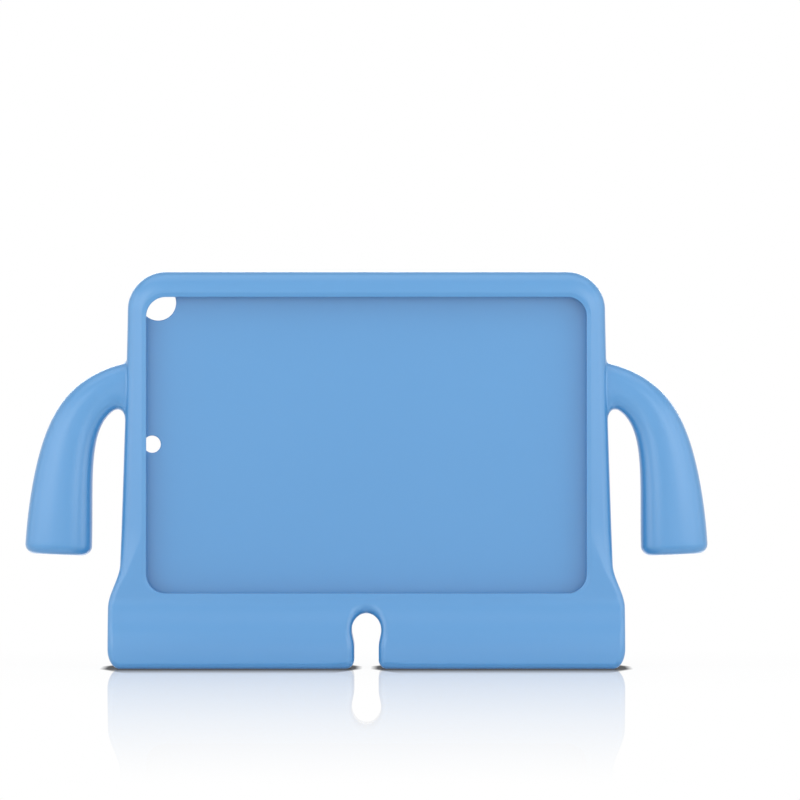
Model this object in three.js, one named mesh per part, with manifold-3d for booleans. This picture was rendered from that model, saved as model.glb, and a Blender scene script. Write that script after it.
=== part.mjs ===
import * as THREE from 'three';
import Module from 'manifold-3d';

const wasm = await Module();
wasm.setup();

// A one-piece moulded foam case for a tablet, with two hanging arms and a wide foot that lets it stand.
// Millimetres. X runs to the right as seen from the front, Y to the back and Z up.
// The origin is on the surface that the case stands on, under the middle of its depth.

// The tablet that the case is moulded for
const tabletWidth = 250.6;
const tabletHeight = 174.1;
const tabletDepth = 6.1;
const tabletCornerRadius = 11.6;
const tabletPlay = 0.4;

// Walls around the pocket
const sillHeight = 38;
const topWall = 10.1;
const sideWall = 8.5;
const lipThickness = 4;
const backPanel = 11.5;

// The window in the front, which leaves a narrow lip over the tablet's rim
const lipCoverSides = 1.6;
const lipCoverEnds = 3.8;
const windowCornerRadius = 11;
const windowBevelWidth = 2.4;
const windowBevelDepth = 0.3;
const windowBevelLead = 0.05;

// Outline of the frame, seen from the front
const topCornerRadius = 21.5;
const hipHeight = 59;
const hipSpread = 4.2;
const ankleHeight = 34;
const taperBend = 1.2;
const footSpread = 6.8;
const footCornerWidth = 7;
const footCornerHeight = 11;

// The foot, which swells forwards into a toe and backwards into a heel
const toeReach = 8;
const toeLevel = 8;
const heelReach = 18;
const heelStart = 80;
const heelLevel = 14;

// Keyhole notch between the two feet
const notchTop = 31;
const notchBulge = 8.3;
const notchRoundHeight = 9.3;
const neckHalfWidth = 6.9;
const neckTop = 12;
const notchCornerWidth = 4.8;
const notchCornerHeight = 5;

// Rounding of the edges: width is measured across the face, depth along Y. The bezel slopes away from the
// window by its fall, and a squareness above 2 keeps that slope straight for longer before it rounds off.
const bezelRoundWidth = 8;
const bezelRoundDepth = 6.5;
const bezelFall = 1.5;
const bezelSquareness = 3;
const topRoundWidth = 10.9;
const footRound = 3.4;
const plainSquareness = 2;
const notchRound = 4.2;
const rearRound = 5;
const roundFade = 32;

// Tapered holes through the back panel, placed from the tablet's side, top and middle
const cameraFromSide = 8.1;
const cameraFromTop = 6.9;
const cameraOuterRadius = 12.7;
const cameraInnerRadius = 9.85;
const microphoneFromSide = 4.7;
const microphoneAboveMiddle = 0.55;
const microphoneOuterRadius = 8.2;
const microphoneInnerRadius = 4.6;

// Arms: a curved centre line in the plane of the frame, with a section that grows towards the hand
const armRootHeight = 162.8;
const armRootInset = 8.2;
const shoulderReach = 32.3;
const shoulderDrop = 7.9;
const elbowReach = 36.3;
const elbowHeight = 132.3;
const handReach = 39.2;
const handHeight = 64;
const armRootWidth = 21.6;
const armRootDepth = 13.5;
const handWidth = 37.6;
const handDepth = 27;
const handEdgeRound = 5.5;
const armSquareness = 2.5;
const armRootEmbed = 3;
const armpitReach = 8;
const armpitDrop = 11;
const shoulderFillet = 1.2;

// Steps along the curves
const cornerSteps = 8;
const notchArcSteps = 7;
const notchWaistSteps = 4;
const neckSteps = 2;
const footCornerSteps = 5;
const footSideSteps = 11;
const upperSideSteps = 8;
const frontRoundSteps = 6;
const rearRoundSteps = 4;
const armRootSteps = 9;
const armSteps = 16;
const armEndSteps = 4;
const armSectionSteps = 24;
const windowCornerSteps = 8;
const holeSteps = 40;

// What follows from the sizes above
const pocketWidth = tabletWidth + 2 * tabletPlay;
const pocketHeight = tabletHeight + 2 * tabletPlay;
const pocketDepth = tabletDepth + tabletPlay;
const pocketCornerRadius = tabletCornerRadius + tabletPlay;
const pocketMiddle = sillHeight + pocketHeight / 2;
const windowWidth = tabletWidth - 2 * lipCoverSides;
const windowHeight = tabletHeight - 2 * lipCoverEnds;
const windowBottom = pocketMiddle - windowHeight / 2;
const caseHeight = sillHeight + pocketHeight + topWall;
const shoulderHalf = pocketWidth / 2 + sideWall;
const cornerStart = caseHeight - topCornerRadius;
const footHalf = shoulderHalf + hipSpread + footSpread;
const toeStart = windowBottom - windowBevelWidth;
const bodyDepth = lipThickness + pocketDepth + backPanel;
const caseDepth = toeReach + bodyDepth + heelReach;
const frontFace = toeReach - caseDepth / 2;
const rearFace = frontFace + bodyDepth;
const pocketFront = frontFace + lipThickness;
const pocketFloor = pocketFront + pocketDepth;
const bodyMiddle = (frontFace + rearFace) / 2;
const beyond = 5;

const quarter = Math.PI / 2;

function share(value, from, to) {
  return Math.min(Math.max((value - from) / (to - from), 0), 1);
}

function easeBoth(t) {
  return t * t * (3 - 2 * t);
}

// Rises quickly at first and settles slowly, from 0 to 1
function easeSettle(t) {
  return t * t * (6 - 8 * t + 3 * t * t);
}

// Where the front and the rear face lie along Y at a height z
function frontAt(z) {
  return frontFace - toeReach * easeSettle(share(z, toeStart, toeLevel));
}

function rearAt(z) {
  return rearFace + heelReach * easeBoth(share(z, heelStart, heelLevel));
}

// Half width of the frame: it widens gently from the shoulders to the hips, then swells into the feet
function taperAt(z) {
  return share(z, cornerStart, hipHeight) ** taperBend;
}

function halfWidthAt(z) {
  return shoulderHalf + hipSpread * taperAt(z) + footSpread * easeBoth(share(z, hipHeight, ankleHeight));
}

// Slope of a curve of z, from one millimetre of it
function slopeAt(curve, z) {
  return curve(z + 0.5) - curve(z - 0.5);
}

function unit(x, z) {
  const size = Math.hypot(x, z);
  return { nx: x / size, nz: z / size };
}

// One point of the outline: its place, the way out of the foam and the rounding of its edges. It has the
// bezel's profile where foot is 0, and a plain rounding as wide as deep where foot is 1.
function outlinePoint(x, z, normal, bezelWidth, rearWidth, plainRound, foot) {
  return {
    x,
    z,
    ...normal,
    frontWidth: THREE.MathUtils.lerp(bezelWidth, plainRound, foot),
    frontDepth: THREE.MathUtils.lerp(bezelRoundDepth, plainRound, foot),
    frontFall: THREE.MathUtils.lerp(bezelFall, 0, foot),
    squareness: THREE.MathUtils.lerp(bezelSquareness, plainSquareness, foot),
    rearWidth: THREE.MathUtils.lerp(rearWidth, plainRound, foot),
  };
}

function sidePoint(z) {
  const foot = 1 - easeBoth(share(z, ankleHeight, ankleHeight + roundFade));
  const bezelWidth = bezelRoundWidth + hipSpread * taperAt(z);
  const normal = unit(1, -slopeAt(halfWidthAt, z));
  return outlinePoint(halfWidthAt(z), z, normal, bezelWidth, rearRound, footRound, foot);
}

function topCornerPoint(angle) {
  const x = shoulderHalf - topCornerRadius + topCornerRadius * Math.cos(angle);
  const z = cornerStart + topCornerRadius * Math.sin(angle);
  const bezelWidth = THREE.MathUtils.lerp(bezelRoundWidth, topRoundWidth, angle / quarter);
  return outlinePoint(x, z, unit(Math.cos(angle), Math.sin(angle)), bezelWidth, rearRound, footRound, 0);
}

// The edge rounding of the foot's corner runs in along its radii, so that no two of its rings cross
function footCornerPoint(angle) {
  const x = footHalf - footCornerWidth + footCornerWidth * Math.cos(angle);
  const z = footCornerHeight - footCornerHeight * Math.sin(angle);
  const outwards = unit(Math.cos(angle), -Math.sin(angle));
  return outlinePoint(x, z, outwards, bezelRoundWidth, rearRound, footRound, 1);
}

function notchPoint(x, z, normal) {
  return outlinePoint(x, z, normal, bezelRoundWidth, rearRound, notchRound, 1);
}

// Right side of the notch, from its top down to the sole: a round head, a waist, a neck and a round corner
function notchSide() {
  const points = [];
  const headLevel = notchTop - notchRoundHeight;
  for (let i = 0; i < notchArcSteps; i += 1) {
    const angle = (i / notchArcSteps) * quarter;
    const x = notchBulge * Math.sin(angle);
    const z = headLevel + notchRoundHeight * Math.cos(angle);
    const normal = unit(-Math.sin(angle) / notchBulge, -Math.cos(angle) / notchRoundHeight);
    points.push(notchPoint(x, z, normal));
  }
  const waist = (z) => neckHalfWidth + (notchBulge - neckHalfWidth) * easeBoth(share(z, neckTop, headLevel));
  for (let i = 0; i < notchWaistSteps; i += 1) {
    const z = THREE.MathUtils.lerp(headLevel, neckTop, i / notchWaistSteps);
    points.push(notchPoint(waist(z), z, unit(-1, slopeAt(waist, z))));
  }
  for (let i = 0; i < neckSteps; i += 1) {
    const z = THREE.MathUtils.lerp(neckTop, notchCornerHeight, i / neckSteps);
    points.push(notchPoint(neckHalfWidth, z, unit(-1, 0)));
  }
  for (let i = 0; i <= footCornerSteps; i += 1) {
    const angle = (i / footCornerSteps) * quarter;
    const x = neckHalfWidth + notchCornerWidth * (1 - Math.cos(angle));
    const z = notchCornerHeight * (1 - Math.sin(angle));
    const normal = unit(-Math.cos(angle) / notchCornerWidth, -Math.sin(angle) / notchCornerHeight);
    points.push(notchPoint(x, z, normal));
  }
  return points;
}

// Outer side of the foot, with one point level with each point of the notch
function footSide(notch) {
  const insetHeight = (point) => point.z - point.nz * notchRound;
  const cornerAt = notch.length - 1 - footCornerSteps;
  const highest = insetHeight(notch[0]);
  const lowest = insetHeight(notch[cornerAt]);
  return notch.map((point, i) => {
    if (i >= cornerAt) {
      return footCornerPoint(((i - cornerAt) / footCornerSteps) * quarter);
    }
    const level = share(insetHeight(point), lowest, highest);
    return sidePoint(THREE.MathUtils.lerp(footCornerHeight, highest, level));
  });
}

// Side of the frame above the notch, up to the middle of the top edge's straight
function upperSide(lowest) {
  const points = [];
  for (let i = 1; i <= footSideSteps; i += 1) {
    points.push(sidePoint(THREE.MathUtils.lerp(lowest, heelStart, i / footSideSteps)));
  }
  for (let i = 1; i < upperSideSteps; i += 1) {
    points.push(sidePoint(THREE.MathUtils.lerp(heelStart, cornerStart, i / upperSideSteps)));
  }
  for (let i = 0; i <= cornerSteps; i += 1) {
    points.push(topCornerPoint((i / cornerSteps) * quarter));
  }
  return points;
}

// Closed triangles from a stack of rings with one triangulated end face, turned to face outwards
function solidFromRings(rings, capTriangles) {
  const size = rings[0].length;
  const triangles = capTriangles.flatMap(([a, b, c]) => [a, b, c]);
  const last = (rings.length - 1) * size;
  for (const [a, b, c] of capTriangles) {
    triangles.push(last + a, last + c, last + b);
  }
  for (let j = 0; j + 1 < rings.length; j += 1) {
    for (let i = 0; i < size; i += 1) {
      const here = j * size + i;
      const next = j * size + ((i + 1) % size);
      triangles.push(here, here + size, next + size, here, next + size, next);
    }
  }
  const positions = rings.flat(2);
  const corners = triangles.map((k) => new THREE.Vector3().fromArray(positions, 3 * k));
  let volume = 0;
  for (let k = 0; k < corners.length; k += 3) {
    volume += corners[k].dot(corners[k + 1].clone().cross(corners[k + 2]));
  }
  if (volume < 0) {
    triangles.reverse();
  }
  return new wasm.Manifold(new wasm.Mesh({
    numProp: 3,
    vertProperties: new Float32Array(positions),
    triVerts: new Uint32Array(triangles),
  }));
}

function fan(size) {
  const triangles = [];
  for (let i = 1; i + 1 < size; i += 1) {
    triangles.push([0, i, i + 1]);
  }
  return triangles;
}

// The frame without its hollows: rings run around the outline, from the flat front over the rounded edges
// to the flat back, and both faces are strips of equal height, so that they follow the toe and the heel
function frameSolid() {
  const notch = notchSide();
  const foot = footSide(notch);
  const upper = upperSide(foot[0].z);
  const right = [...notch, ...foot.toReversed(), ...upper];
  const left = right.slice(1).toReversed().map((point) => ({ ...point, x: -point.x, nx: -point.nx }));
  const outline = [...right, ...left];

  const frontRing = (angle) => outline.map((point) => {
    const outwards = Math.max(Math.cos(angle), 0) ** (2 / point.squareness);
    const forwards = Math.sin(angle) ** (2 / point.squareness);
    const inset = point.frontWidth * (1 - outwards);
    const z = point.z - point.nz * inset;
    const depth = point.frontFall * outwards + point.frontDepth * (1 - forwards);
    return [point.x - point.nx * inset, frontAt(z) + depth, z];
  });
  const rearRing = (angle) => outline.map((point) => {
    const inset = point.rearWidth * (1 - Math.cos(angle));
    const z = point.z - point.nz * inset;
    return [point.x - point.nx * inset, rearAt(z) - point.rearWidth * (1 - Math.sin(angle)), z];
  });
  const rings = [];
  for (let i = 0; i <= frontRoundSteps; i += 1) {
    rings.push(frontRing(quarter * (1 - i / frontRoundSteps)));
  }
  for (let i = 0; i <= rearRoundSteps; i += 1) {
    rings.push(rearRing(quarter * (i / rearRoundSteps)));
  }

  const levels = notch.length;
  const opposite = (i) => (outline.length - i) % outline.length;
  const footAt = (i) => 2 * levels - 1 - i;
  const triangles = [];
  const addQuad = (a, b, c, d) => triangles.push([a, b, c], [a, c, d]);
  for (let i = 0; i + 1 < levels; i += 1) {
    addQuad(i, i + 1, footAt(i + 1), footAt(i));
    addQuad(opposite(footAt(i)), opposite(footAt(i + 1)), opposite(i + 1), opposite(i));
  }
  const first = footAt(0);
  triangles.push([0, first, first + 1], [0, first + 1, opposite(first + 1)], [0, opposite(first + 1), opposite(first)]);
  for (let i = first + 1; i + 1 < right.length; i += 1) {
    addQuad(opposite(i), i, i + 1, opposite(i + 1));
  }
  const realTriangles = triangles.filter(([a, b, c]) => a !== b && b !== c && a !== c);
  return solidFromRings(rings, realTriangles);
}

// Extra height of a fillet, a quarter of an ellipse, at a distance from the wall that it runs into
function filletAt(distance, reach, height) {
  const rest = 1 - Math.min(Math.max(distance, 0), reach) / reach;
  return height * (1 - Math.sqrt(1 - rest * rest));
}

// One arm, on the side that side says: 1 is right, -1 is left
function armSolid(side) {
  const root = new THREE.Vector2(shoulderHalf - armRootInset, armRootHeight);
  const shoulder = new THREE.Vector2(shoulderHalf + shoulderReach, armRootHeight - shoulderDrop);
  const elbow = new THREE.Vector2(shoulderHalf + elbowReach, elbowHeight);
  const hand = new THREE.Vector2(shoulderHalf + handReach, handHeight);
  const path = new THREE.CubicBezierCurve(root, shoulder, elbow, hand);
  const length = path.getLength();

  const section = (along, shrink) => {
    const centre = path.getPointAt(along);
    const way = path.getTangentAt(along);
    const across = new THREE.Vector2(-way.y, way.x);
    const halfWidth = THREE.MathUtils.lerp(armRootWidth, handWidth, easeBoth(along)) / 2 - shrink;
    const thickening = Math.sin(along * quarter);
    const halfDepth = THREE.MathUtils.lerp(armRootDepth, handDepth, thickening) / 2 - shrink;
    const fromWall = (x) => x - halfWidthAt(centre.y);
    const rise = filletAt(fromWall(centre.x + across.x * halfWidth), shoulderFillet, shoulderFillet);
    const drop = filletAt(fromWall(centre.x - across.x * halfWidth), armpitReach, armpitDrop);
    const ring = [];
    for (let i = 0; i < armSectionSteps; i += 1) {
      const angle = (i / armSectionSteps) * 2 * Math.PI;
      const u = Math.sign(Math.cos(angle)) * Math.abs(Math.cos(angle)) ** (2 / armSquareness);
      const v = Math.sign(Math.sin(angle)) * Math.abs(Math.sin(angle)) ** (2 / armSquareness);
      const x = centre.x + across.x * u * halfWidth;
      const z = centre.y + across.y * u * halfWidth + u * (u > 0 ? rise : drop);
      ring.push([side * x, bodyMiddle + v * halfDepth, z]);
    }
    return ring;
  };

  const rings = [];
  const start = (armRootInset - armRootEmbed) / length;
  const armpitEnd = (armRootInset + 1.5 * armpitReach) / length;
  const palm = 1 - handEdgeRound / length;
  for (let i = 0; i < armRootSteps; i += 1) {
    rings.push(section(THREE.MathUtils.lerp(start, armpitEnd, i / armRootSteps), 0));
  }
  for (let i = 0; i <= armSteps; i += 1) {
    rings.push(section(THREE.MathUtils.lerp(armpitEnd, palm, i / armSteps), 0));
  }
  for (let i = 1; i <= armEndSteps; i += 1) {
    const angle = (i / armEndSteps) * quarter;
    const along = palm + (1 - palm) * Math.sin(angle);
    rings.push(section(along, handEdgeRound * (1 - Math.cos(angle))));
  }
  return solidFromRings(rings, fan(armSectionSteps));
}

// A ring in the plane y, shaped as a rectangle with round corners
function roundedRing(width, height, radius, middle, y) {
  const ring = [];
  for (let corner = 0; corner < 4; corner += 1) {
    const right = corner === 0 || corner === 3 ? 1 : -1;
    const up = corner < 2 ? 1 : -1;
    for (let i = 0; i <= windowCornerSteps; i += 1) {
      const angle = (corner + i / windowCornerSteps) * quarter;
      const x = right * (width / 2 - radius) + radius * Math.cos(angle);
      ring.push([x, y, middle + up * (height / 2 - radius) + radius * Math.sin(angle)]);
    }
  }
  return ring;
}

function pocketCutter() {
  const ring = (y) => roundedRing(pocketWidth, pocketHeight, pocketCornerRadius, pocketMiddle, y);
  const rings = [ring(pocketFront), ring(pocketFloor)];
  return solidFromRings(rings, fan(rings[0].length));
}

// The window is straight through the lip, with a shallow bevel that opens towards the front. The bevel runs on
// by its lead and then straight ahead, so that it stays clear of the toe.
function windowCutter() {
  const ring = (grow, y) => {
    const radius = windowCornerRadius + grow;
    return roundedRing(windowWidth + 2 * grow, windowHeight + 2 * grow, radius, pocketMiddle, y);
  };
  const opening = windowBevelWidth * (1 + windowBevelLead / windowBevelDepth);
  const rings = [
    ring(opening, frontFace - beyond),
    ring(opening, frontFace - windowBevelLead),
    ring(0, frontFace + windowBevelDepth),
    ring(0, pocketFront + pocketDepth / 2),
  ];
  return solidFromRings(rings, fan(rings[0].length));
}

// A hole that widens evenly from the pocket floor to the rear face and on beyond it
function taperedCutter(x, z, innerRadius, outerRadius) {
  const circle = (radius, y) => {
    const ring = [];
    for (let i = 0; i < holeSteps; i += 1) {
      const angle = (i / holeSteps) * 2 * Math.PI;
      ring.push([x + radius * Math.cos(angle), y, z + radius * Math.sin(angle)]);
    }
    return ring;
  };
  const widening = (outerRadius - innerRadius) / backPanel;
  const rings = [circle(innerRadius, pocketFloor), circle(outerRadius + widening * beyond, rearFace + beyond)];
  return solidFromRings(rings, fan(holeSteps));
}

function caseSolid() {
  const tabletSide = -tabletWidth / 2;
  const cameraX = tabletSide + cameraFromSide;
  const cameraZ = pocketMiddle + tabletHeight / 2 - cameraFromTop;
  const microphoneX = tabletSide + microphoneFromSide;
  const microphoneZ = pocketMiddle + microphoneAboveMiddle;
  const outside = frameSolid().add(armSolid(1)).add(armSolid(-1));
  const hollow = pocketCutter()
    .add(windowCutter())
    .add(taperedCutter(cameraX, cameraZ, cameraInnerRadius, cameraOuterRadius))
    .add(taperedCutter(microphoneX, microphoneZ, microphoneInnerRadius, microphoneOuterRadius));
  return outside.subtract(hollow);
}

function geometryOf(solid) {
  const mesh = solid.getMesh();
  const geometry = new THREE.BufferGeometry();
  geometry.setAttribute('position', new THREE.BufferAttribute(new Float32Array(mesh.vertProperties), 3));
  geometry.setIndex(new THREE.BufferAttribute(new Uint32Array(mesh.triVerts), 1));
  geometry.computeVertexNormals();
  return geometry;
}

const foam = new THREE.MeshStandardMaterial({ color: 0x63a5dc, roughness: 0.6, metalness: 0 });
const tabletCase = new THREE.Mesh(geometryOf(caseSolid()), foam);
tabletCase.name = 'tablet_case';

const group = new THREE.Group();
group.add(tabletCase);

export default group;
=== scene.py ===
import math
import bpy
import numpy as np
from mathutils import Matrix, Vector


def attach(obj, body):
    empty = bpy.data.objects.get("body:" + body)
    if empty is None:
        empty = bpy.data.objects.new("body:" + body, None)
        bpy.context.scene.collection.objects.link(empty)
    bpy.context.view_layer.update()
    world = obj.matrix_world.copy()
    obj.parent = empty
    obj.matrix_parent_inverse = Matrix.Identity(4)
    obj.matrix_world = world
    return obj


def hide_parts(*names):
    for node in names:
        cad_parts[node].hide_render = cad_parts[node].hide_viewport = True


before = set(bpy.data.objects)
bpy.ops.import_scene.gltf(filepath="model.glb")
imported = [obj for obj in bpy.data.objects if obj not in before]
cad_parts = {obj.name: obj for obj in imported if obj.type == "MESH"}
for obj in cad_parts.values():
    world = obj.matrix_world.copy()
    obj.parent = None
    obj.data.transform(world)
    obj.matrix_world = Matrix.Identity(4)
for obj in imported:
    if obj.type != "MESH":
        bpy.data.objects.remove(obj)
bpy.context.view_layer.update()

# A moulded foam case for a tablet: a framed window, a pocket, two hanging arms and a wide notched foot.
# Shapes are worked out in millimetres and put into the mesh in metres.

millimetre = 0.001
quarter = math.pi / 2
scene = bpy.context.scene
scene.view_settings.view_transform = "Standard"

# What a user would change on the frame of the case
body = {
    "pocketWidth": 251.4, "pocketHeight": 174.9, "pocketDepth": 6.5, "pocketCorner": 12.0,
    "floorRound": 0.8, "floorMargin": 3.0,
    "windowWidth": 247.4, "windowHeight": 166.5, "windowCorner": 11.0,
    "bevelWidth": 2.4, "bevelDepth": 0.3, "lipThickness": 4.0, "lipRound": 0.4,
    "sillHeight": 38.0, "topWall": 10.1, "sideWall": 8.5, "backPanel": 11.5,
    "topCorner": 21.5, "hipHeight": 59.0, "hipSpread": 4.2, "ankleHeight": 34.0, "taperBend": 1.2,
    "footSpread": 6.8, "footCornerWidth": 7.0, "footCornerHeight": 11.0,
    "toeReach": 8.0, "toeLevel": 8.0, "heelReach": 18.0, "heelStart": 80.0, "heelLevel": 14.0,
    "notchTop": 31.0, "notchBulge": 8.3, "notchRoundHeight": 9.3, "neckHalfWidth": 6.9, "neckTop": 12.0,
    "notchCornerWidth": 4.8, "notchCornerHeight": 5.0,
    "bezelRoundWidth": 8.0, "bezelRoundDepth": 6.5, "bezelFall": 1.5, "bezelSquareness": 3.0,
    "topRoundWidth": 10.9, "rearRound": 5.0, "footRound": 3.4, "roundStart": 46.0, "roundEnd": 80.0,
    "notchRound": 4.2, "notchTopRound": 6.5, "notchRoundReach": 12.0,
    "backCorner": 12.0, "backSideMargin": 20.0, "backTopMargin": 18.0, "backBottomMargin": 4.0,
    "sharpAngle": 50.0,
}
# How fine its mesh is: steps along the outline, steps across the skin, how many rings the face and its
# rounded edge have low and high on the case, and how far from the middle of the window's lower edge the end
# of each low stretch leads
mesh = {
    "notchHead": 18, "notchWaist": 9, "notchNeck": 5, "notchCorner": 10, "sole": 44, "footCorner": 16,
    "footSide": 26, "side": 92, "topCorner": 28, "top": 38,
    "floorRound": 4, "pocketWall": 4, "lipRound": 4, "crest": 5, "bevel": 7, "sideWall": 7, "rearRound": 10,
    "back": 26, "faceRings": 28, "lowRings": 14, "highRings": 27, "lowRingsEnd": 20.0, "highRingsStart": 60.0,
    "headLead": 13.0, "waistLead": 17.2, "neckLead": 20.0, "notchCornerLead": 24.0, "soleLead": 104.0,
}
caseHeight = body["sillHeight"] + body["pocketHeight"] + body["topWall"]
shoulderHalf = body["pocketWidth"] / 2 + body["sideWall"]
cornerStart = caseHeight - body["topCorner"]
footHalf = shoulderHalf + body["hipSpread"] + body["footSpread"]
headLevel = body["notchTop"] - body["notchRoundHeight"]
pocketMiddle = body["sillHeight"] + body["pocketHeight"] / 2
windowBottom = pocketMiddle - body["windowHeight"] / 2
bodyDepth = body["lipThickness"] + body["pocketDepth"] + body["backPanel"]
caseDepth = body["toeReach"] + bodyDepth + body["heelReach"]
frontFace = body["toeReach"] - caseDepth / 2
rearFace = frontFace + bodyDepth
pocketFront = frontFace + body["lipThickness"]
pocketFloor = pocketFront + body["pocketDepth"]
bodyMiddle = (frontFace + rearFace) / 2


# How far a value has come from start to end, held between 0 and 1
def share(value, start, end):
    return np.clip((value - start) / (end - start), 0, 1)


# Slow at both ends: t * t * (3 - 2t)
def easeBoth(t):
    return t * t * (3 - 2 * t)


# Quick at first and slow at the end: t * t * (6 - 8t + 3 * t * t)
def easeSettle(t):
    return t * t * (6 - 8 * t + 3 * t * t)


# From a at 0 to b at 1: a + (b - a) * t
def mix(a, b, t):
    return a + (b - a) * t


# Evenly spaced values from a up to, but not including, b
def steps(a, b, count):
    return np.linspace(a, b, count, endpoint=False)


# Evenly spaced values after a, up to and including b
def stepsAfter(a, b, count):
    return np.linspace(a, b, count + 1)[1:]


# The angles of points spread evenly round a full turn
def fullTurn(points):
    return np.arange(points) * 2 * math.pi / points


# How much a profile grows over the millimetre about a height
def growthAt(profile, z):
    return profile(z + 0.5) - profile(z - 0.5)


# The front face lies flat and swells forwards into the toe below the window
def frontAt(z):
    toeStart = windowBottom - body["bevelWidth"]
    return frontFace - body["toeReach"] * easeSettle(share(z, toeStart, body["toeLevel"]))


# The rear face lies flat and swells backwards into the heel
def rearAt(z):
    return rearFace + body["heelReach"] * easeBoth(share(z, body["heelStart"], body["heelLevel"]))


# How far the sides have spread, from 0 at the shoulders to 1 at the hips: the share of the way to a power
def taperAt(z):
    return share(z, cornerStart, body["hipHeight"]) ** body["taperBend"]


# Half width at a height: a gentle taper from the shoulders to the hips, then the swell of the feet
def halfWidthAt(z):
    swell = easeBoth(share(z, body["hipHeight"], body["ankleHeight"]))
    return shoulderHalf + body["hipSpread"] * taperAt(z) + body["footSpread"] * swell


# Half width of the notch between its round head and its neck, eased from the one to the other
def waistAt(z):
    return mix(body["neckHalfWidth"], body["notchBulge"], easeBoth(share(z, body["neckTop"], headLevel)))


# One stretch of the outline as rows of equal length: place, way out, width of the bezel and of the rounding
# where there is no bezel, how far it is foot (1) or bezel (0), where on the window's rounded rectangle it
# leads (windowX and windowZ from -1 to 1 between the corner centres, turn in radians), and how many rings the
# rounded edge has
def stretch(x, z, outX, outZ, bezelWidth, plainRound, foot, windowX, windowZ, turn, edgeRings):
    size = np.hypot(outX, outZ)
    rows = (x, z, outX / size, outZ / size, bezelWidth, plainRound, foot, windowX, windowZ, turn, edgeRings)
    return np.array(np.broadcast_arrays(*rows), dtype=float)


# The outline's right half below the foot's side: the notch from its top down, the sole and the foot's corner.
# Head and corners are quarter ellipses. Each stretch leads to the window's lower edge, between two distances
# from its middle.
def lowOutline():
    windowHalf = body["windowWidth"] / 2 - body["windowCorner"]
    soleStart = body["neckHalfWidth"] + body["notchCornerWidth"]
    soleEnd = footHalf - body["footCornerWidth"]
    parts = []

    def lead(x, z, outX, outZ, width, start, end):
        windowX = steps(start, end, np.broadcast(x, z).size) / windowHalf
        parts.append(stretch(x, z, outX, outZ, width, width, 1, windowX, -1, -quarter, mesh["lowRings"]))

    a = steps(0, quarter, mesh["notchHead"])
    width = mix(body["notchRound"], body["notchTopRound"], easeBoth(np.cos(a)))
    lead(body["notchBulge"] * np.sin(a), headLevel + body["notchRoundHeight"] * np.cos(a),
         -np.sin(a) / body["notchBulge"], -np.cos(a) / body["notchRoundHeight"], width, 0, mesh["headLead"])
    z = steps(headLevel, body["neckTop"], mesh["notchWaist"])
    lead(waistAt(z), z, -1, growthAt(waistAt, z), body["notchRound"], mesh["headLead"], mesh["waistLead"])
    z = steps(body["neckTop"], body["notchCornerHeight"], mesh["notchNeck"])
    lead(body["neckHalfWidth"], z, -1, 0, body["notchRound"], mesh["waistLead"], mesh["neckLead"])
    a = steps(0, quarter, mesh["notchCorner"])
    lead(body["neckHalfWidth"] + body["notchCornerWidth"] * (1 - np.cos(a)),
         body["notchCornerHeight"] * (1 - np.sin(a)),
         -np.cos(a) / body["notchCornerWidth"], -np.sin(a) / body["notchCornerHeight"],
         body["notchRound"], mesh["neckLead"], mesh["notchCornerLead"])
    x = steps(soleStart, soleEnd, mesh["sole"])
    settled = easeBoth(share(x, soleStart, soleStart + body["notchRoundReach"]))
    width = mix(body["notchRound"], body["footRound"], settled)
    lead(x, 0, 0, -1, width, mesh["notchCornerLead"], mesh["soleLead"])
    a = steps(0, quarter, mesh["footCorner"])
    lead(footHalf - body["footCornerWidth"] * (1 - np.sin(a)), body["footCornerHeight"] * (1 - np.cos(a)),
         np.sin(a), -np.cos(a), body["footRound"], mesh["soleLead"], windowHalf)
    return parts


# The outline's right half from the foot's side up: the side, which leads to the window's lower corner and
# side, the top corner, a quarter circle, and the top as far as the middle
def highOutline():
    windowTurnEnd = windowBottom + body["windowCorner"]
    z = np.concatenate([steps(body["footCornerHeight"], windowTurnEnd, mesh["footSide"]),
                        steps(windowTurnEnd, cornerStart, mesh["side"])])
    ringsRise = easeBoth(share(z, mesh["lowRingsEnd"], mesh["highRingsStart"]))
    side = stretch(halfWidthAt(z), z, 1, -growthAt(halfWidthAt, z),
                   body["bezelRoundWidth"] + body["hipSpread"] * taperAt(z), body["footRound"],
                   1 - easeBoth(share(z, body["roundStart"], body["roundEnd"])),
                   1, mix(-1, 1, share(z, windowTurnEnd, cornerStart)),
                   -quarter * (1 - share(z, body["footCornerHeight"], windowTurnEnd)),
                   mix(mesh["lowRings"], mesh["highRings"], ringsRise))
    a = steps(0, quarter, mesh["topCorner"])
    corner = stretch(shoulderHalf - body["topCorner"] * (1 - np.cos(a)),
                     cornerStart + body["topCorner"] * np.sin(a), np.cos(a), np.sin(a),
                     mix(body["bezelRoundWidth"], body["topRoundWidth"], a / quarter),
                     body["footRound"], 0, 1, 1, a, mesh["highRings"])
    across = np.linspace(1, 0, mesh["top"])
    top = stretch((shoulderHalf - body["topCorner"]) * across, caseHeight, 0, 1,
                  body["topRoundWidth"], body["footRound"], 0, across, 1, quarter, mesh["highRings"])
    return [side, corner, top]


# The whole outline: the right half and its mirror image, without the two points on the middle line
def wholeOutline():
    right = np.concatenate(lowOutline() + highOutline(), axis=1)
    x, z, outX, outZ, bezelWidth, plainRound, foot, windowX, windowZ, turn, edgeRings = right[:, -2:0:-1]
    left = (-x, z, -outX, outZ, bezelWidth, plainRound, foot, -windowX, windowZ, math.pi - turn, edgeRings)
    return np.concatenate([right, left], axis=1)


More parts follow.
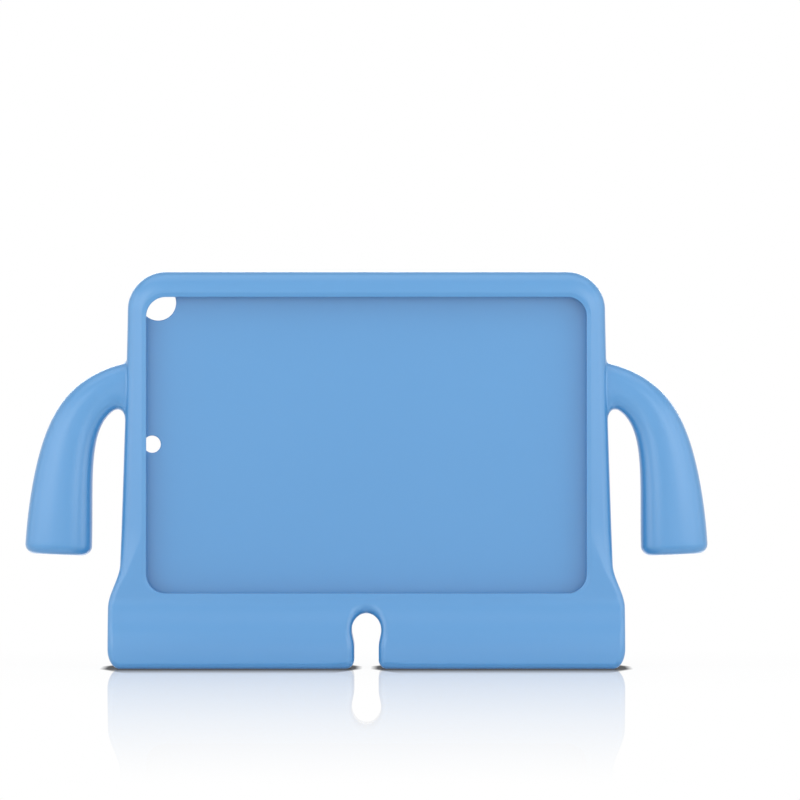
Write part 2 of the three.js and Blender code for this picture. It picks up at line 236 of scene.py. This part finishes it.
# The skin of the frame as closed rings around it, in order from the pocket floor over the lip, the front
# face, its rounded edge, the side wall and the rounded rear edge to the back.
# In the front's edge a ring at angle a is inset by width * (1 - c) and lies fall * c + depth * (1 - s) behind
# the face, with c and s the cosine and sine of a to the power 2 / squareness. The rest are quarter circles.
def frameRings():
    x, z, outX, outZ, bezelWidth, plainRound, foot, windowX, windowZ, turn, edgeRings = wholeOutline()
    rings = []

    # a ring on a rounded rectangle about the window's middle, grown evenly by grow
    def rounded(width, height, corner, grow, y):
        ringX = windowX * (width / 2 - corner) + np.cos(turn) * (corner + grow)
        ringZ = pocketMiddle + windowZ * (height / 2 - corner) + np.sin(turn) * (corner + grow)
        return np.stack([ringX, np.broadcast_to(y, ringX.shape), ringZ], axis=1)

    def pocket(grow, y):
        rings.append(rounded(body["pocketWidth"], body["pocketHeight"], body["pocketCorner"], grow, y))

    def window(grow, y):
        rings.append(rounded(body["windowWidth"], body["windowHeight"], body["windowCorner"], grow, y))

    # the pocket's floor and wall, then the lip's rear edge
    r = body["floorRound"]
    pocket(-body["floorMargin"], pocketFloor)
    for a in np.linspace(0, quarter, mesh["floorRound"] + 1):
        pocket(-r * (1 - math.sin(a)), pocketFloor - r * (1 - math.cos(a)))
    for y in stepsAfter(pocketFloor - r, pocketFront, mesh["pocketWall"]):
        pocket(0, y)
    r = body["lipRound"]
    for a in stepsAfter(0, quarter, mesh["lipRound"]):
        window(r * (1 - math.sin(a)), pocketFront - r * (1 - math.cos(a)))

    # half-way through the lip, its rounded crest and the bevel
    crestStart = frontFace + body["bevelDepth"] + r
    slope = math.atan(body["bevelDepth"] / body["bevelWidth"])
    window(0, mix(pocketFront - r, crestStart, 0.5))
    for a in np.linspace(0, quarter - slope, mesh["crest"] + 1):
        window(r * (1 - math.cos(a)), crestStart - r * math.sin(a))
    crestGrow = r * (1 - math.sin(slope))
    crestDepth = crestStart - r * math.cos(slope)
    for t in stepsAfter(0, 1, mesh["bevel"]):
        window(mix(crestGrow, body["bevelWidth"], t), mix(crestDepth, frontFace, t))

    # the front face and its rounded edge, from the window out to the side wall
    frontWidth = mix(bezelWidth, plainRound, foot)
    frontDepth = mix(body["bezelRoundDepth"], plainRound, foot)
    frontFall = mix(body["bezelFall"], 0, foot)
    power = 2 / mix(body["bezelSquareness"], 2, foot)
    bevelRing = rings[-1]
    for ring in reversed(range(mesh["faceRings"])):
        angle = quarter * np.minimum(ring / edgeRings, 1)
        inwards = np.maximum(ring - edgeRings, 0) / (mesh["faceRings"] - edgeRings)
        outwards = np.maximum(np.cos(angle), 0) ** power
        inset = frontWidth * (1 - outwards)
        ringX = mix(x - outX * inset, bevelRing[:, 0], inwards)
        ringZ = mix(z - outZ * inset, bevelRing[:, 2], inwards)
        depth = frontFall * outwards + frontDepth * (1 - np.sin(angle) ** power)
        rings.append(np.stack([ringX, frontAt(ringZ) + depth, ringZ], axis=1))

    # the side wall and the rounded rear edge
    rearWidth = mix(body["rearRound"], plainRound, foot)
    sideFront = rings[-1]
    sideRear = np.stack([x, rearAt(z) - rearWidth, z], axis=1)
    for t in stepsAfter(0, 1, mesh["sideWall"]):
        rings.append(mix(sideFront, sideRear, t))
    for a in stepsAfter(0, quarter, mesh["rearRound"]):
        inset = rearWidth * (1 - math.cos(a))
        ringZ = z - outZ * inset
        ringY = rearAt(ringZ) - rearWidth * (1 - math.sin(a))
        rings.append(np.stack([x - outX * inset, ringY, ringZ], axis=1))

    # the back, drawn in towards a flat rounded rectangle above the heel
    edge = rings[-1]
    flatBottom = body["heelStart"] + body["backBottomMargin"]
    flatTop = caseHeight - body["backTopMargin"]
    flatWidth = 2 * (shoulderHalf - body["backSideMargin"])
    inner = rounded(flatWidth, flatTop - flatBottom, body["backCorner"], 0, rearFace)
    inner[:, 2] += (flatTop + flatBottom) / 2 - pocketMiddle
    for t in stepsAfter(0, 1, mesh["back"]):
        ring = mix(edge, inner, t)
        ring[:, 1] = rearAt(ring[:, 2])
        rings.append(ring)
    return np.array(rings)


# Makes a closed mesh from a stack of rings, with one flat face at each end. The faces are turned round if the
# volume under them, summed over a corner of each face, comes out below zero.
def meshFromRings(name, rings):
    count, size = rings.shape[:2]
    here = np.arange(count * size).reshape(count, size)
    after = np.roll(here, -1, axis=1)
    quads = np.stack([here[:-1], here[1:], after[1:], after[:-1]], axis=2).reshape(-1, 4)
    faces = quads.tolist() + [here[0].tolist(), here[-1][::-1].tolist()]
    points = rings.reshape(-1, 3)
    skin = bpy.data.meshes.new(name)
    skin.from_pydata((points * millimetre).tolist(), [], faces)
    first, second, third = (points[quads[:, k]] for k in range(3))
    volume = np.einsum("ij,ij->", first, np.cross(second - first, third - first))
    if volume < 0:
        skin.flip_normals()
    skin.update()
    piece = bpy.data.objects.new(name, skin)
    scene.collection.objects.link(piece)
    return piece


frameSkin = meshFromRings("tablet_case_skin", frameRings())
print("frame of the case:", len(frameSkin.data.vertices), "points")

# What a user would change on the arms
arm = {
    "rootHeight": 162.8, "rootInset": 8.2, "shoulderReach": 32.3, "shoulderDrop": 7.9,
    "elbowReach": 36.3, "elbowHeight": 132.3, "handReach": 39.2, "handHeight": 64.0,
    "rootWidth": 21.6, "rootDepth": 11.5, "handWidth": 37.6, "handDepth": 27.0,
    "handEdgeRound": 5.5, "squareness": 2.5, "rootEmbed": 3.0,
    "armpitReach": 8.0, "armpitDrop": 11.0, "shoulderFillet": 1.2,
    "curvePoints": 2001, "sectionPoints": 72, "rootRings": 24, "middleRings": 50, "handRings": 10,
    "fineRootReach": 1.5,
}


# Extra height of a fillet, a quarter of an ellipse, at a distance from the wall that it runs into
def filletAt(distance, reach, height):
    rest = 1 - np.clip(distance, 0, reach) / reach
    return height * (1 - np.sqrt(1 - rest * rest))


# An arm: a superellipse carried along a cubic Bezier curve. side is 1 for the right arm and -1 for the left.
# The section widens towards the hand, flares where it meets the wall, and shrinks over the hand's rounded
# end. A coordinate of the superellipse is the cosine or sine to the power 2 / squareness, with its sign.
def armRings(side):
    knots = np.array([
        [shoulderHalf - arm["rootInset"], arm["rootHeight"]],
        [shoulderHalf + arm["shoulderReach"], arm["rootHeight"] - arm["shoulderDrop"]],
        [shoulderHalf + arm["elbowReach"], arm["elbowHeight"]],
        [shoulderHalf + arm["handReach"], arm["handHeight"]],
    ])
    t = np.linspace(0, 1, arm["curvePoints"])[:, None]
    curve = ((1 - t) ** 3 * knots[0] + 3 * t * (1 - t) ** 2 * knots[1]
             + 3 * t * t * (1 - t) * knots[2] + t ** 3 * knots[3])
    walked = np.concatenate([[0], np.cumsum(np.hypot(*np.diff(curve, axis=0).T))])
    length = walked[-1]

    rootStart = (arm["rootInset"] - arm["rootEmbed"]) / length
    rootEnd = (arm["rootInset"] + arm["fineRootReach"] * arm["armpitReach"]) / length
    palm = 1 - arm["handEdgeRound"] / length
    turn = stepsAfter(0, quarter, arm["handRings"])
    along = np.concatenate([steps(rootStart, rootEnd, arm["rootRings"]),
                            np.linspace(rootEnd, palm, arm["middleRings"]),
                            palm + (1 - palm) * np.sin(turn)])
    shrink = np.concatenate([np.zeros(arm["rootRings"] + arm["middleRings"]),
                             arm["handEdgeRound"] * (1 - np.cos(turn))])

    # what a row of pairs along the whole curve comes to at each ring
    def atRings(pairs):
        return np.stack([np.interp(along * length, walked, pairs[:, k]) for k in (0, 1)], axis=1)

    centre = atRings(curve)
    way = atRings(np.gradient(curve, walked, axis=0))
    across = np.stack([-way[:, 1], way[:, 0]], axis=1)
    across /= np.linalg.norm(across, axis=1, keepdims=True)
    halfWidth = mix(arm["rootWidth"], arm["handWidth"], easeBoth(along)) / 2 - shrink
    halfDepth = mix(arm["rootDepth"], arm["handDepth"], np.sin(along * quarter)) / 2 - shrink
    wall = halfWidthAt(centre[:, 1])
    upperGap = centre[:, 0] + across[:, 0] * halfWidth - wall
    lowerGap = centre[:, 0] - across[:, 0] * halfWidth - wall
    rise = filletAt(upperGap, arm["shoulderFillet"], arm["shoulderFillet"])
    drop = filletAt(lowerGap, arm["armpitReach"], arm["armpitDrop"])

    angle = fullTurn(arm["sectionPoints"])
    u = np.sign(np.cos(angle)) * np.abs(np.cos(angle)) ** (2 / arm["squareness"])
    v = np.sign(np.sin(angle)) * np.abs(np.sin(angle)) ** (2 / arm["squareness"])
    flare = np.where(u > 0, u * rise[:, None], u * drop[:, None])
    ringX = centre[:, :1] + across[:, :1] * halfWidth[:, None] * u
    ringZ = centre[:, 1:] + across[:, 1:] * halfWidth[:, None] * u + flare
    ringY = bodyMiddle + halfDepth[:, None] * v
    return np.stack([side * ringX, ringY, ringZ], axis=2)


armSkins = [meshFromRings("arm_skin", armRings(side)) for side in (1, -1)]
print("arms: two of", len(armSkins[0].data.vertices), "points")

# What a user would change on the two tapered holes through the back panel
rearHoles = {
    "camera": {"x": -117.2, "z": 205.6, "inner": 9.85, "outer": 12.7},
    "microphone": {"x": -120.6, "z": 126.0, "inner": 4.6, "outer": 8.2},
    "mouthRound": 0.8, "overshoot": 0.5, "mouthRings": 6, "points": 96,
}


# The cutter of a hole: a circle that widens evenly from the pocket floor to the back, with rounded mouths.
# At angle a of a mouth the radius grows by r * (1 - sin a), at a depth of r * (1 - cos a) below the surface.
def holeRings(hole):
    r = rearHoles["mouthRound"]
    turn = np.linspace(0, quarter, rearHoles["mouthRings"])
    inDepth = pocketFloor + r * (1 - np.cos(turn))
    outDepth = rearFace - r * (1 - np.cos(turn[::-1]))
    depth = np.concatenate([[pocketFloor - rearHoles["overshoot"]], inDepth,
                            outDepth, [rearFace + rearHoles["overshoot"]]])
    taper = mix(hole["inner"], hole["outer"], share(depth, pocketFloor, rearFace))
    mouth = r * (1 - np.sin(turn))
    radius = taper + np.concatenate([[r], mouth, mouth[::-1], [r]])
    angle = fullTurn(rearHoles["points"])
    ringX = hole["x"] + radius[:, None] * np.cos(angle)
    ringZ = hole["z"] + radius[:, None] * np.sin(angle)
    return np.stack([ringX, np.broadcast_to(depth[:, None], ringX.shape), ringZ], axis=2)


# Puts what the modifiers make in place of the piece's mesh
def applyModifiers(piece):
    graph = bpy.context.evaluated_depsgraph_get()
    made = bpy.data.meshes.new_from_object(piece.evaluated_get(graph))
    old = piece.data
    piece.modifiers.clear()
    piece.data = made
    bpy.data.meshes.remove(old)


# Joins or cuts with another piece, which is then deleted
def carve(piece, tool, operation):
    modifier = piece.modifiers.new(operation, "BOOLEAN")
    modifier.operation = operation
    modifier.solver = "EXACT"
    modifier.object = tool
    applyModifiers(piece)
    bpy.data.objects.remove(tool)


for skin in armSkins:
    carve(frameSkin, skin, "UNION")
for holeName in ("camera", "microphone"):
    carve(frameSkin, meshFromRings(holeName, holeRings(rearHoles[holeName])), "DIFFERENCE")
print("arms joined and holes cut:", len(frameSkin.data.polygons), "faces")

# What a user would change on how the crease round an arm's root is softened: where it lies, how far from it
# the softening is full and ends, in millimetres along the arm and in sizes of the arm's section on the wall,
# how often each point moves and how far, and below which weight it stays
crease = {
    "drop": 1.6, "sink": 1.0, "fullAlong": 2.0, "endAlong": 6.0, "fullRound": 1.15, "endRound": 1.5,
    "moves": 20, "pull": 0.25, "leastWeight": 0.01,
}


# The weight is 1 on the crease and fades to 0 along the arm with the distance from the wall, and on the wall
# with the distance outside the arm's section, which is measured as a superellipse
def creaseWeight(x, y, z):
    fromWall = np.abs(x) - halfWidthAt(z)
    level = arm["rootHeight"] - crease["drop"]
    up = (z - level) / (arm["rootWidth"] / 2 + arm["shoulderFillet"])
    down = (level - z) / (arm["rootWidth"] / 2 + arm["armpitDrop"])
    beside = (y - bodyMiddle) / (arm["rootDepth"] / 2)
    power = arm["squareness"]
    outside = (np.abs(np.maximum(up, down)) ** power + np.abs(beside) ** power) ** (1 / power)
    alongArm = easeBoth(share(np.abs(fromWall + crease["sink"]), crease["endAlong"], crease["fullAlong"]))
    roundArm = easeBoth(share(outside, crease["endRound"], crease["fullRound"]))
    return alongArm * roundArm


# Softens the crease where the arms run into the wall: each point moves a part of the way, times its weight,
# to the middle of its neighbours, again and again
def softenRoots(piece):
    skin = piece.data
    places = np.empty(len(skin.vertices) * 3)
    skin.vertices.foreach_get("co", places)
    places = places.reshape(-1, 3) / millimetre
    weight = creaseWeight(*places.T)
    edges = np.empty(len(skin.edges) * 2, dtype=np.int32)
    skin.edges.foreach_get("vertices", edges)
    edges = edges.reshape(-1, 2)
    bothWays = np.concatenate([edges, edges[:, ::-1]])
    here, there = bothWays[weight[bothWays[:, 0]] > crease["leastWeight"]].T
    neighbours = np.maximum(np.bincount(here, minlength=len(places)), 1)
    pull = np.where(weight > crease["leastWeight"], crease["pull"] * weight, 0)
    for _ in range(crease["moves"]):
        total = [np.bincount(here, places[there, k], len(places)) for k in range(3)]
        middle = np.stack(total, axis=1) / neighbours[:, None]
        places += pull[:, None] * (middle - places)
    skin.vertices.foreach_set("co", (places * millimetre).ravel())
    skin.update()


softenRoots(frameSkin)
frameSkin.data.shade_smooth()
frameSkin.data.set_sharp_from_angle(angle=math.radians(body["sharpAngle"]))
weighted = frameSkin.modifiers.new("normals", "WEIGHTED_NORMAL")
weighted.keep_sharp = True
frameSkin.name = "tablet_case_foam"
print("arm roots softened")

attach(frameSkin, "root")
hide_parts("tablet_case")


# Adds a node. A value named like one of its sockets goes there, by a link if it is another node's output, and
# any other value is a setting of the node.
def addNode(tree, kind, **values):
    node = tree.nodes.new(kind)
    for name, value in values.items():
        if name not in node.inputs:
            setattr(node, name, value)
        elif isinstance(value, bpy.types.NodeSocket):
            tree.links.new(value, node.inputs[name])
        else:
            node.inputs[name].default_value = value
    return node


# What a maths node works out from values, each of them a constant or another node's output
def workOut(tree, kind, operation, *values):
    node = addNode(tree, kind, operation=operation)
    for socket, value in zip(node.inputs, values):
        if isinstance(value, bpy.types.NodeSocket):
            tree.links.new(value, socket)
        else:
            socket.default_value = value
    return node.outputs["Value"] if operation == "LENGTH" else node.outputs[0]


# Carries a value evenly from one range to another and holds it at the ends
def rerange(tree, value, start, end, atStart, atEnd):
    ends = {"From Min": start, "From Max": end, "To Min": atStart, "To Max": atEnd}
    return addNode(tree, "ShaderNodeMapRange", clamp=True, Value=value, **ends).outputs["Result"]


# Blends two shaders, all of the first at 0 and all of the second at 1
def blend(tree, factor, first, second):
    node = addNode(tree, "ShaderNodeMixShader")
    for socket, value in zip(node.inputs, (factor, first, second)):
        tree.links.new(value, socket)
    return node.outputs[0]


# What a user would change on the foam's finish
foam = {
    "colour": (0.056, 0.263, 0.561), "paler": (0.060, 0.270, 0.571),
    "cloudScale": 14.0, "cloudDetail": 3.0, "cloudRoughness": 0.5,
    "grainSize": 0.0006, "grainDepth": 0.00004, "grainStrength": 0.35, "grainDetail": 2.0,
    "grainRoughness": 0.6, "roughness": 0.3, "specular": 0.95, "sheen": 0.12,
}


# Moulded closed-cell foam: an even sky blue with faint clouds of colour, a fine pebbled skin and a soft gloss
def foamMaterial():
    material = bpy.data.materials.new("moulded_foam")
    material.use_nodes = True
    tree = material.node_tree
    shader = tree.nodes["Principled BSDF"]
    place = addNode(tree, "ShaderNodeTexCoord").outputs["Object"]
    clouds = addNode(tree, "ShaderNodeTexNoise", Vector=place, Scale=foam["cloudScale"],
                     Detail=foam["cloudDetail"], Roughness=foam["cloudRoughness"])
    tint = addNode(tree, "ShaderNodeMix", data_type="RGBA", A=(*foam["colour"], 1), B=(*foam["paler"], 1),
                   Factor=clouds.outputs["Fac"])
    grain = addNode(tree, "ShaderNodeTexNoise", Vector=place, Scale=1 / foam["grainSize"],
                    Detail=foam["grainDetail"], Roughness=foam["grainRoughness"])
    bump = addNode(tree, "ShaderNodeBump", Strength=foam["grainStrength"], Distance=foam["grainDepth"],
                   Height=grain.outputs["Fac"])
    tree.links.new(tint.outputs["Result"], shader.inputs["Base Color"])
    tree.links.new(bump.outputs["Normal"], shader.inputs["Normal"])
    shader.inputs["Roughness"].default_value = foam["roughness"]
    shader.inputs["Specular IOR Level"].default_value = foam["specular"]
    shader.inputs["Sheen Weight"].default_value = foam["sheen"]
    return material


frameSkin.data.materials.clear()
frameSkin.data.materials.append(foamMaterial())
print("foam laid on")

# What a user would change on the floor: its mirror image, its real shadow, and a painted shadow, a dark line
# painted into the floor close to the foot, which is light again at contactEnd, ends sooner beside the foot
# and narrows ahead of it
floor = {
    "size": 30.0, "colour": (0.9, 0.9, 0.9), "mirror": 0.46, "mirrorReach": 1.31, "mirrorFade": 1.3,
    "mirrorRoughness": 0.0, "shade": 0.1, "shadeReach": 0.3,
    # the contact values set the painted shadow at the foot: where it starts and ends, how dark it is, how
    # much of it the case's gloss sees, and how it narrows
    "contactStart": 0.008, "contactEnd": 0.07, "paintedShadowLight": 0.1, "contactReflected": 0.5,
    "contactNarrow": 15.0, "contactTaper": 0.2,
}
white = (1, 1, 1, 1)


# 1 for camera, glossy and transmission rays, which show the white floor and background, and 0 for diffuse
# rays, by which these light the case
def seenRays(tree):
    rays = addNode(tree, "ShaderNodeLightPath").outputs
    shown = workOut(tree, "ShaderNodeMath", "MAXIMUM", rays["Is Camera Ray"], rays["Is Glossy Ray"])
    return workOut(tree, "ShaderNodeMath", "MAXIMUM", shown, rays["Is Transmission Ray"])


# How far a point reaches past the footprint across and ahead, as a vector: the larger of what is past the
# foot's outer edges and what is inside the notch. A part of it below zero is under the case.
def pastFootprint(tree):
    place = addNode(tree, "ShaderNodeTexCoord").outputs["Object"]
    folded = workOut(tree, "ShaderNodeVectorMath", "ABSOLUTE", place)
    corner = (footHalf * millimetre, caseDepth / 2 * millimetre, 0)
    pastEdge = workOut(tree, "ShaderNodeVectorMath", "SUBTRACT", folded, corner)
    notchEdge = (body["neckHalfWidth"] * millimetre, 0, 0)
    inNotch = workOut(tree, "ShaderNodeVectorMath", "SUBTRACT", notchEdge, folded)
    return workOut(tree, "ShaderNodeVectorMath", "MAXIMUM", pastEdge, inNotch)


# How much light the painted shadow leaves close to the foot, a dark line painted into the floor and no cast
# shadow: the distance past the footprint is stretched across, and what is ahead is drawn in by a share of its
# distance. In the case's own gloss the painted line stays lighter.
def paintedShadowLight(tree, past):
    parts = addNode(tree, "ShaderNodeSeparateXYZ", Vector=past).outputs
    ahead = workOut(tree, "ShaderNodeMath", "MAXIMUM", parts["Y"], 0)
    drawnIn = workOut(tree, "ShaderNodeMath", "MULTIPLY_ADD", ahead, floor["contactTaper"], parts["X"])
    aside = workOut(tree, "ShaderNodeMath", "MAXIMUM", drawnIn, 0)
    stretched = workOut(tree, "ShaderNodeMath", "MULTIPLY", aside, floor["contactNarrow"])
    both = addNode(tree, "ShaderNodeCombineXYZ", X=stretched, Y=ahead).outputs[0]
    distance = workOut(tree, "ShaderNodeVectorMath", "LENGTH", both)
    left = rerange(tree, distance, floor["contactStart"], floor["contactEnd"], floor["paintedShadowLight"], 1)
    glossy = addNode(tree, "ShaderNodeLightPath").outputs["Is Glossy Ray"]
    reflected = workOut(tree, "ShaderNodeMath", "MULTIPLY", glossy, floor["contactReflected"])
    return workOut(tree, "ShaderNodeMath", "MAXIMUM", left, reflected)


# A white floor. Near the case it shows a clear mirror image, which fades with the distance from its foot, and
# a faint real shadow. Close to the foot both the white and the mirror image are darkened by a painted shadow.
def floorMaterial():
    material = bpy.data.materials.new("white_floor")
    material.use_nodes = True
    tree = material.node_tree
    tree.nodes.clear()
    past = pastFootprint(tree)
    # the light that the painted shadow leaves near the foot
    light = paintedShadowLight(tree, past)
    outside = workOut(tree, "ShaderNodeVectorMath", "MAXIMUM", past, (0, 0, 0))
    distance = workOut(tree, "ShaderNodeVectorMath", "LENGTH", outside)
    shade = rerange(tree, distance, 0, floor["shadeReach"], floor["shade"], 0)
    near = rerange(tree, distance, 0, floor["mirrorReach"], 1, 0)
    fading = workOut(tree, "ShaderNodeMath", "POWER", near, floor["mirrorFade"])
    mirror = workOut(tree, "ShaderNodeMath", "MULTIPLY", fading, floor["mirror"])

    paint = addNode(tree, "ShaderNodeBsdfDiffuse", Color=(*floor["colour"], 1)).outputs[0]
    # the white floor and its mirror image, both darkened close to the foot by the painted shadow
    whiteWithPaintedShadow = addNode(tree, "ShaderNodeEmission", Color=white, Strength=light).outputs[0]
    gloss = addNode(tree, "ShaderNodeBsdfGlossy", Color=light, Roughness=floor["mirrorRoughness"]).outputs[0]
    seen = blend(tree, mirror, blend(tree, shade, whiteWithPaintedShadow, paint), gloss)
    addNode(tree, "ShaderNodeOutputMaterial", Surface=blend(tree, seenRays(tree), paint, seen))
    return material


def makeFloor():
    half = floor["size"] / 2
    corners = [(-half, -half, 0), (half, -half, 0), (half, half, 0), (-half, half, 0)]
    sheet = bpy.data.meshes.new("floor")
    sheet.from_pydata(corners, [], [(0, 1, 2, 3)])
    sheet.materials.append(floorMaterial())
    plane = bpy.data.objects.new("floor", sheet)
    scene.collection.objects.link(plane)


makeFloor()
print("floor laid")

# What a user would change on the light. Each lamp has its place, size and brightness, and looks at the aim.
studio = {
    "ambient": 0.38, "background": 1.0, "aim": (0.0, 0.0, 0.12),
    "leftFront": {"at": (-0.68, -1.55, 0.42), "size": (0.75, 0.7), "brightness": 1.95},
    "rightFront": {"at": (0.68, -1.55, 0.42), "size": (0.75, 0.7), "brightness": 1.95},
    "leftStrip": {"at": (-0.52, -0.42, 0.23), "size": (0.2, 0.44), "brightness": 1.05},
    "rightStrip": {"at": (0.52, -0.42, 0.23), "size": (0.2, 0.44), "brightness": 1.05},
    "leftSide": {"at": (-0.9, -0.3, 0.35), "size": (0.8, 0.65), "brightness": 0.95},
    "rightSide": {"at": (0.9, -0.3, 0.35), "size": (0.8, 0.65), "brightness": 0.95},
    "front": {"at": (0.0, -3.0, 0.14), "size": (0.9, 0.28), "brightness": 1.5},
    "slope": {"at": (0.0, -1.3, 0.75), "size": (1.6, 0.5), "brightness": 0.4},
    "above": {"at": (0.0, -0.5, 1.05), "size": (1.8, 0.8), "brightness": 0.95},
    "behind": {"at": (0.0, 1.9, 0.9), "size": (2.2, 0.9), "brightness": 3.4},
}


# A rectangular lamp, whose power is its brightness times pi times its area
def addLamp(name):
    lamp = studio[name]
    light = bpy.data.lights.new(name, "AREA")
    light.shape = "RECTANGLE"
    light.size, light.size_y = lamp["size"]
    light.energy = lamp["brightness"] * math.pi * light.size * light.size_y
    holder = bpy.data.objects.new(name, light)
    holder.location = lamp["at"]
    aim = Vector(studio["aim"]) - holder.location
    holder.rotation_euler = aim.to_track_quat("-Z", "Y").to_euler()
    holder.visible_camera = False
    scene.collection.objects.link(holder)


lampNames = [name for name, value in studio.items() if isinstance(value, dict)]
for lampName in lampNames:
    addLamp(lampName)


# The room around the stage: soft ambient light on the case, and a white background where it is seen
def makeRoom():
    world = bpy.data.worlds.new("room")
    scene.world = world
    world.use_nodes = True
    tree = world.node_tree
    tree.nodes.clear()
    ambient = addNode(tree, "ShaderNodeBackground", Color=white, Strength=studio["ambient"]).outputs[0]
    backdrop = addNode(tree, "ShaderNodeBackground", Color=white, Strength=studio["background"]).outputs[0]
    addNode(tree, "ShaderNodeOutputWorld", Surface=blend(tree, seenRays(tree), ambient, backdrop))


makeRoom()
print("lamps:", len(lampNames))

# What a user would change on the camera, which looks straight at the front from far away
view = {"lens": 350.0, "sensor": 36.0, "frameWidth": 0.4491, "x": 0.01886, "z": 0.15085, "farthest": 100.0}


# The camera stands where its lens takes in the frame's width at the front face
def makeCamera():
    camera = bpy.data.cameras.new("camera")
    camera.lens = view["lens"]
    camera.sensor_width = view["sensor"]
    camera.clip_end = view["farthest"]
    distance = view["frameWidth"] * view["lens"] / view["sensor"]
    holder = bpy.data.objects.new("camera", camera)
    holder.location = (view["x"], frontFace * millimetre - distance, view["z"])
    holder.rotation_euler = (quarter, 0, 0)
    scene.collection.objects.link(holder)
    scene.camera = holder


makeCamera()
print("camera set")
